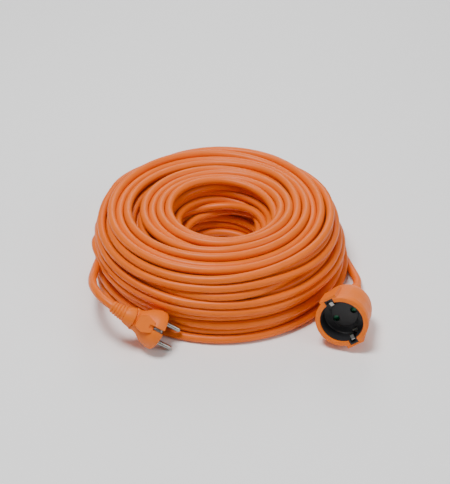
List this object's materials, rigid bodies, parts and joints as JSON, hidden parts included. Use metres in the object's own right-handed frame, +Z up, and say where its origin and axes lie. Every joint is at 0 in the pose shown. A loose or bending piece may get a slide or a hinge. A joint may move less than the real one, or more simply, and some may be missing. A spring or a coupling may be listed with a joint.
{
  "type": "extension cord",
  "caption": "Coiled orange extension cord with an earthed plug on one end and a portable shuttered socket on the other.",
  "frame": {"origin": "under the middle of the socket end, at the level of the ground that the cord lies on", "axes": "+Z up, -Y towards the front where both ends lie, +X to the right, so that the coil is behind the socket end and to its left"},
  "size_m": [0.2708, 0.2601, 0.078],
  "materials": {
    "sheath": "bright orange PVC, semi-gloss",
    "moulding": "orange moulded PVC, satin",
    "insert": "black thermoplastic",
    "carrier": "off-white thermoplastic",
    "shutter": "green moulded plastic",
    "nickel": "nickel plate on brass, satin",
    "brass": "bright brass",
    "spring_steel": "drawn spring wire",
    "core_brown": "brown PVC",
    "core_blue": "blue PVC",
    "core_green_yellow": "green and yellow PVC"
  },
  "bodies": {
    "cord_set": {"cord_coil": "sheath", "plug_lead": "sheath", "socket_lead": "sheath", "plug_body": "moulding", "plug_strain_relief": "moulding", "plug_bridge": "insert", "plug_earth_strap": "nickel", "plug_earth_sleeve": "nickel", "plug_pin_line": "nickel", "plug_pin_neutral": "nickel", "plug_crimp_line": "brass", "plug_crimp_neutral": "brass", "plug_crimp_earth": "brass", "plug_core_line": "core_brown", "plug_core_neutral": "core_blue", "plug_core_earth": "core_green_yellow", "socket_body": "moulding", "socket_strain_relief": "moulding", "socket_insert": "insert", "socket_shutter_spring": "spring_steel", "socket_contact_carrier": "carrier", "socket_earth_bridge": "nickel", "socket_contact_line": "brass", "socket_contact_neutral": "brass", "socket_crimp_line": "brass", "socket_crimp_neutral": "brass", "socket_crimp_earth": "brass", "socket_core_line": "core_brown", "socket_core_neutral": "core_blue", "socket_core_earth": "core_green_yellow"},
    "shutter": {"socket_shutter": "shutter"},
    "clip_upper": {"socket_earth_clip_upper": "nickel"},
    "clip_lower": {"socket_earth_clip_lower": "nickel"}
  },
  "joints": [
    {"name": "shutter_turn", "type": "hinge", "parent": "cord_set", "child": "shutter", "pos_m": [0.00224, -0.01174, 0.02562], "axis": [-0.2653, -0.9311, 0.2503], "range_deg": [0, 40], "stiffness_Nm_per_rad": 0.02},
    {"name": "clip_upper_flex", "type": "hinge", "parent": "cord_set", "child": "clip_upper", "pos_m": [-0.00932, -0.00575, 0.04205], "axis": [-0.8037, 0.0702, -0.5908], "range_deg": [0, 3.5], "stiffness_Nm_per_rad": 2},
    {"name": "clip_lower_flex", "type": "hinge", "parent": "cord_set", "child": "clip_lower", "pos_m": [0.01294, -0.02071, 0.00999], "axis": [0.8037, -0.0702, 0.5908], "range_deg": [0, 3.5], "stiffness_Nm_per_rad": 2}
  ]
}
